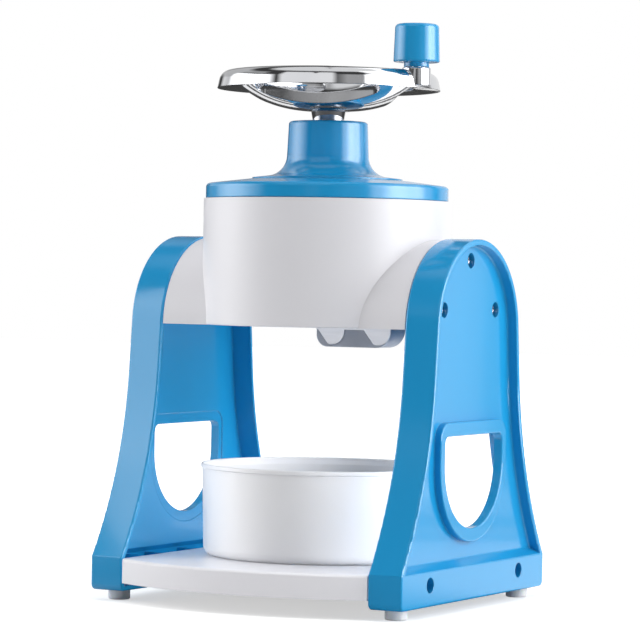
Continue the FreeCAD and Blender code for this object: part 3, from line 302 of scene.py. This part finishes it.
def soft_rubber(name):
    """Pale silicone foot with a dusty bloom."""
    material, tree, shader = new_material(name, Subsurface_Weight=0.2, Subsurface_Scale=0.004)
    rounded = soft_edge(tree)
    dust = between(tree, noise(tree, scale=120, detail=5), low=0, high=1)
    tone = blend_colour(tree, dust, RUBBER, RUBBER_DEEP)
    tone = blend_colour(tree, edge_mask(tree, rounded), tone, RUBBER_EDGE)
    haze = between(tree, dust, low=0.45, high=0.65)
    skin = bumped(tree, noise(tree, scale=700, detail=3), rounded, strength=0.2)
    feed(tree, shader, Base_Color=tone, Roughness=haze, Normal=skin)
    return material


def slot_materials():
    """One material for each slot of the record."""
    plans = {
        "blue_plastic": (moulded_plastic, {
            "colour": BLUE, "deep": BLUE_DEEP, "edge": BLUE_EDGE_HIGHLIGHT, "gloss": 0.17, "grain": 0.06,
            "Coat_Weight": 0.25, "Coat_Roughness": 0.06,
        }),
        "white_plastic": (moulded_plastic, {
            "colour": WHITE, "deep": WHITE_DEEP, "edge": WHITE_EDGE_HIGHLIGHT, "gloss": 0.305, "grain": 0.05,
            "softness": THIN_EDGE_SOFTNESS, "Specular_IOR_Level": 0.35,
        }),
        # Nylon's edges take the white plastic's colour as a painted highlight
        "bearing_nylon": (moulded_plastic, {
            "colour": NYLON, "deep": NYLON_DEEP, "edge": WHITE, "gloss": 0.45, "grain": 0.1,
        }),
        "frosted_plastic": (frosted_plastic, {}),
        "wheel_chrome": (polished_chrome, {}),
        "stainless_sheet": (brushed_metal, {
            "colour": STAINLESS, "deep": STAINLESS_DEEP,
            "gloss": 0.31, "stretch": (0.1, 1, 1), "Metallic": 0.4,
        }),
        "shaft_steel": (brushed_metal, {
            "colour": STEEL, "deep": STEEL_DEEP,
            "gloss": 0.20, "stretch": (1, 1, 8), "Metallic": 1.0,
        }),
        "screw_steel": (brushed_metal, {
            "colour": ZINC, "deep": ZINC_DEEP,
            "gloss": 0.19, "stretch": (1, 4, 1), "Metallic": 1.0,
        }),
        "grey_casting": (cast_metal, {}),
        "foot_rubber": (soft_rubber, {}),
    }
    return {slot: make(slot, **values) for slot, (make, values) in plans.items()}


def dress_frame():
    """Gives each CAD node the material of its slot."""
    materials = slot_materials()
    for part in frame["record"]["subparts"]:
        node = NODES[part["node"]]
        node.data.materials.clear()
        node.data.materials.append(materials[part["material_slot"]])


# ---- Presser spring --------------------------------------------------------------------------


def add_spring():
    """The coil as a piece of its own, carried by the crank's body."""
    coil = bpy.data.objects.new("presser_coil", NODES["presser_spring"].data.copy())
    bpy.context.scene.collection.objects.link(coil)
    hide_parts("presser_spring")
    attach(coil, "crank")
    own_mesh(coil)


# ---- World -----------------------------------------------------------------------------------

# Level directions from the object: to the camera, and to the camera's right
TOWARD = (math.sin(CAMERA_AZIMUTH), -math.cos(CAMERA_AZIMUTH), 0)
ASIDE = (math.cos(CAMERA_AZIMUTH), math.sin(CAMERA_AZIMUTH), 0)

AMBIENT_FRONT = 0.03
AMBIENT_SIDE = 0.75
# The soft light dims towards the camera and a little downwards, between these cosines
AMBIENT_AXIS = (*TOWARD[:2], -0.15)
AMBIENT_FADE = (-0.25, 0.65)

# Lit screens that only gloss shows: bearing of both edges, elevation of both edges, softness,
# brightness. Angles are in degrees, and bearings count from the camera's side to its right.
SCREENS = (
    (-118, -74, -30, 27, 14, 4.4),
    (-118, -80, 33, 44, 4, 0.35),
    (-56, 6, 18, 46, 3, 0.85),
    (12, 44, -30, 34, 8, 0.35),
    (42, 104, -30, 34, 4, 4.2),
    (50, 165, 36, 62, 6, 1.50),
    (58, 80, -20, 30, 6, 6.5),
    (80, 100, -20, 30, 6, 3.5),
    (104, 118, -30, 34, 4, 1.4),
    (132, 190, -20, 30, 4, 0.8),
    (-50, 44, 5, 7, 1, 0.70),
    (-21.2, -8, 0, 5, 0.3, 0.40),
    (-40, -21.6, 3.26, 3.32, 0.04, 0.90),
    (-170, -118, 12, 44, 8, 0.50),
    (-190, -166, 5, 14, 3, 0.45),
    (-150, -124, 3, 12, 5, 0.90),
    (-180, 180, 58, 90, 6, 0.75),
)
# Most softness of a screen's upper and lower edges
LEVEL_SOFTNESS = 3
GLOSS_FLOOR = 0.05
# A lower diffuse depth means that no diffuse bounce came before
FIRST_BOUNCE = 0.5


def bearing_and_height(tree, direction):
    """Degrees round the vertical from the camera's side, and degrees above the horizon."""
    across, along, up = (
        vector_node(tree, "DOT_PRODUCT", direction, axis) for axis in (ASIDE, TOWARD, (0, 0, 1))
    )
    turn = math_node(tree, "ARCTAN2", across, along)
    rise = math_node(tree, "ARCSINE", up)
    return [math_node(tree, "DEGREES", angle) for angle in (turn, rise)]


def inside(tree, value, low, high, softness):
    """1 between low and high, fading to 0 over the softness on each side."""
    rise = between(tree, value, 0, 1, low - softness, low + softness)
    fall = between(tree, value, 1, 0, high - softness, high + softness)
    return math_node(tree, "MULTIPLY", rise, fall)


def gloss_room(tree, direction):
    """The dark studio with its lit screens, as polished surfaces show it."""
    bearing, height = bearing_and_height(tree, direction)
    total = GLOSS_FLOOR
    for left, right, low, high, softness, strength in SCREENS:
        across = inside(tree, bearing, left, right, softness)
        upward = inside(tree, height, low, high, min(softness, LEVEL_SOFTNESS))
        screen = math_node(tree, "MULTIPLY", across, upward)
        screen = math_node(tree, "MULTIPLY", screen, strength)
        total = math_node(tree, "ADD", total, screen)
    return total


def soft_room(tree, direction):
    """Even light from all round that is dimmer from the camera's side."""
    facing = vector_node(tree, "DOT_PRODUCT", direction, AMBIENT_AXIS)
    return between(tree, facing, AMBIENT_SIDE, AMBIENT_FRONT, *AMBIENT_FADE)


def add_world():
    """White where it is seen straight or through glass, soft light, and screens in gloss.

    After a diffuse bounce gloss gets the soft light too.
    """
    world = bpy.data.worlds.new("studio")
    bpy.context.scene.world = world
    world.use_nodes = True
    tree = world.node_tree
    path = add_node(tree, "LightPath").outputs
    direction = add_node(tree, "TexCoord").outputs["Generated"]
    straight = math_node(tree, "MAXIMUM", path["Is Camera Ray"], path["Is Transmission Ray"])
    first = math_node(tree, "LESS_THAN", path["Diffuse Depth"], FIRST_BOUNCE)
    unseen = math_node(tree, "SUBTRACT", 1.0, straight)
    glossy = math_node(tree, "MULTIPLY", path["Is Glossy Ray"], unseen)
    glossy = math_node(tree, "MULTIPLY", glossy, first)
    rest = math_node(tree, "SUBTRACT", unseen, glossy)
    in_gloss = math_node(tree, "MULTIPLY", gloss_room(tree, direction), glossy)
    in_light = math_node(tree, "MULTIPLY", soft_room(tree, direction), rest)
    strength = math_node(tree, "ADD", straight, math_node(tree, "ADD", in_gloss, in_light))
    background = tree.nodes["Background"]
    tree.links.new(strength, background.inputs["Strength"])
    background.inputs["Color"].default_value = (1, 1, 1, 1)


# ---- Floor -----------------------------------------------------------------------------------

FLOOR_HALF = 6.0
FLOOR_TONE = (0.72, 0.72, 0.72)
FLOOR_DEEP = (0.70, 0.70, 0.70)
FLOOR_IN_GLOSS = (0.10, 0.10, 0.10)
# Glow that keeps the floor near white: under the object and far off, between these distances
FLOOR_LIFT = 0.56
FAR_FLOOR_LIFT = 0.95
LIFT_REACH = (0.3, 1.2)
# Bright rings that only gloss shows, behind the object: inner radius, outer radius, brightness
FLOOR_RINGS = ((0.15, 0.57, 1.4), (0.64, 0.71, 1.0), (0.84, 1.20, 0.9))
RING_SOFTNESS = 0.012
# Distance towards the camera at which the rings begin to fade, and where they end
RING_FADE = (-0.02, 0.14)


def floor_rings(tree, place, away):
    """Brightness of the rings at a place on the floor."""
    glow = 0.0
    for near, far, strength in FLOOR_RINGS:
        ring = inside(tree, away, near, far, RING_SOFTNESS)
        glow = math_node(tree, "ADD", glow, math_node(tree, "MULTIPLY", ring, strength))
    nearness = vector_node(tree, "DOT_PRODUCT", place, TOWARD)
    return math_node(tree, "MULTIPLY", glow, between(tree, nearness, 1, 0, *RING_FADE))


def floor_material():
    """Pale grey that is lifted towards white where it is seen, and dark with rings in gloss."""
    material, tree, shader = new_material("floor", Roughness=0.9, Specular_IOR_Level=0.0)
    path = add_node(tree, "LightPath").outputs
    grain = between(tree, noise(tree, scale=9, detail=3), low=0, high=1)
    pale = blend_colour(tree, grain, FLOOR_TONE, FLOOR_DEEP)
    tone = blend_colour(tree, path["Is Glossy Ray"], pale, FLOOR_IN_GLOSS)
    place = add_node(tree, "TexCoord").outputs["Object"]
    away = vector_node(tree, "LENGTH", place)
    seen = math_node(tree, "MAXIMUM", path["Is Camera Ray"], path["Is Transmission Ray"])
    lift = between(tree, away, FLOOR_LIFT, FAR_FLOOR_LIFT, *LIFT_REACH)
    lift = math_node(tree, "MULTIPLY", seen, lift)
    glow = math_node(tree, "MULTIPLY", floor_rings(tree, place, away), path["Is Glossy Ray"])
    light = math_node(tree, "MAXIMUM", lift, glow)
    shader.inputs["Emission Color"].default_value = (1, 1, 1, 1)
    feed(tree, shader, Base_Color=tone, Emission_Strength=light)
    return material


def add_floor():
    """Pale floor: white where it is lit, and it keeps the object's shadow."""
    mesh = bpy.data.meshes.new("floor")
    corners = [(FLOOR_HALF * x, FLOOR_HALF * y, 0) for x, y in ((-1, -1), (1, -1), (1, 1), (-1, 1))]
    mesh.from_pydata(corners, [], [(0, 1, 2, 3)])
    mesh.materials.append(floor_material())
    floor = bpy.data.objects.new("floor", mesh)
    bpy.context.scene.collection.objects.link(floor)


# ---- Lamps -----------------------------------------------------------------------------------

# Heights on the Z axis that the softboxes aim at
BODY, BAY, WEB, BOWL, TRAY = 0.19, 0.15, 0.10, 0.06, 0.02

# Softboxes: name, bearing and elevation in degrees, distance, width, height, watts, height of the
# aim, and the group that it lights alone. Bearings count from the camera's side to its right.
SOFTBOXES = (
    ("right_softbox", 88, 9, 1.7, 1.2, 1.5, 9.0, BODY, None),
    ("right_front_softbox", 60, 14, 1.7, 1.0, 1.4, 15.5, BODY, None),
    ("left_softbox", -85, 12, 1.7, 1.2, 1.5, 15.0, BODY, None),
    ("top_softbox", 20, 78, 1.6, 1.2, 1.2, 8.5, BODY, None),
    ("bay_lamp", -14, 1, 1.3, 0.30, 0.10, 11.0, BAY, "bay_light_group"),
    ("bowl_right_lamp", 68, 8, 1.4, 0.6, 0.8, 35.0, BOWL, "bowl_light_group"),
    ("bowl_left_lamp", -98, 8, 1.4, 0.6, 0.8, 15.0, BOWL, "bowl_light_group"),
    ("inner_web_lamp", 64, 8, 1.5, 0.8, 0.8, 9.0, WEB, "inner_web_group"),
    ("outer_web_lamp", 88, 9, 1.7, 1.2, 1.5, 5.5, BODY, "outer_web_group"),
    ("tray_lamp", 10, 40, 1.5, 0.8, 0.8, 3.5, TRAY, "tray_light_group"),
)
# Nodes in each group: bare metal in the bay, the bowl's translucent wall, the broad faces of the
# panels, and the shaded tray
LIT_ALONE = {
    "bay_light_group": ("snow_deflector", "blade_disc"),
    "bowl_light_group": ("ice_bowl",),
    "inner_web_group": ("left_side_panel",),
    "outer_web_group": ("right_side_panel",),
    "tray_light_group": ("base_tray",),
}
# Near softboxes for the long soft reflection on one node: node, place, aim, width, height,
# brightness
GLEAMS = (
    ("left_side_panel", (-0.222, -0.31, 0.22), (-0.10, -0.08, 0.18), 0.15, 0.42, 2.2),
    ("right_side_panel", (0.69, 0.79, 0.20), (0.11, 0.0, 0.15), 0.39, 0.9, 0.9),
)
GLEAM_WATTS_PER_AREA = 4


def add_lamp(name, place, aim, width, height, watts):
    """Rectangular softbox at a place, turned to what it aims at, and never seen itself."""
    lamp = bpy.data.lights.new(name, "AREA")
    lamp.shape = "RECTANGLE"
    lamp.size = width
    lamp.size_y = height
    lamp.energy = watts
    lamp_object = bpy.data.objects.new(name, lamp)
    lamp_object.location = place
    lamp_object.rotation_euler = (Vector(place) - Vector(aim)).to_track_quat("Z", "Y").to_euler()
    lamp_object.visible_camera = False
    lamp_object.visible_transmission = False
    bpy.context.scene.collection.objects.link(lamp_object)
    return lamp_object


def light_only(lamp, name, nodes):
    """Keeps the lamp's light to these nodes, and lets no other piece shade them."""
    group = bpy.data.collections.get(name)
    if group is None:
        group = bpy.data.collections.new(name)
        for node in nodes:
            group.objects.link(NODES[node])
    lamp.light_linking.receiver_collection = group
    lamp.light_linking.blocker_collection = group


def add_softbox(name, azimuth, elevation, distance, width, height, watts, aim_height, group):
    """Soft light that gloss doesn't show."""
    turn = CAMERA_AZIMUTH + math.radians(azimuth)
    rise = math.radians(elevation)
    aim = Vector((0, 0, aim_height))
    away = Vector((
        math.sin(turn) * math.cos(rise),
        -math.cos(turn) * math.cos(rise),
        math.sin(rise),
    ))
    lamp = add_lamp(name, aim + away * distance, aim, width, height, watts)
    lamp.visible_glossy = False
    if group:
        light_only(lamp, group, LIT_ALONE[group])


def add_gleam(node, place, aim, width, height, brightness):
    """Softbox that only one node's gloss shows."""
    watts = brightness * GLEAM_WATTS_PER_AREA * width * height
    lamp = add_lamp(node + "_gleam", place, aim, width, height, watts)
    lamp.visible_diffuse = False
    light_only(lamp, node + "_gleam_group", [node])


def add_lamps():
    for softbox in SOFTBOXES:
        add_softbox(*softbox)
    for gleam in GLEAMS:
        add_gleam(*gleam)


# ---- Scene -----------------------------------------------------------------------------------

bpy.context.scene.view_settings.view_transform = "Standard"
add_camera()
dress_frame()
add_spring()
add_world()
add_floor()
add_lamps()
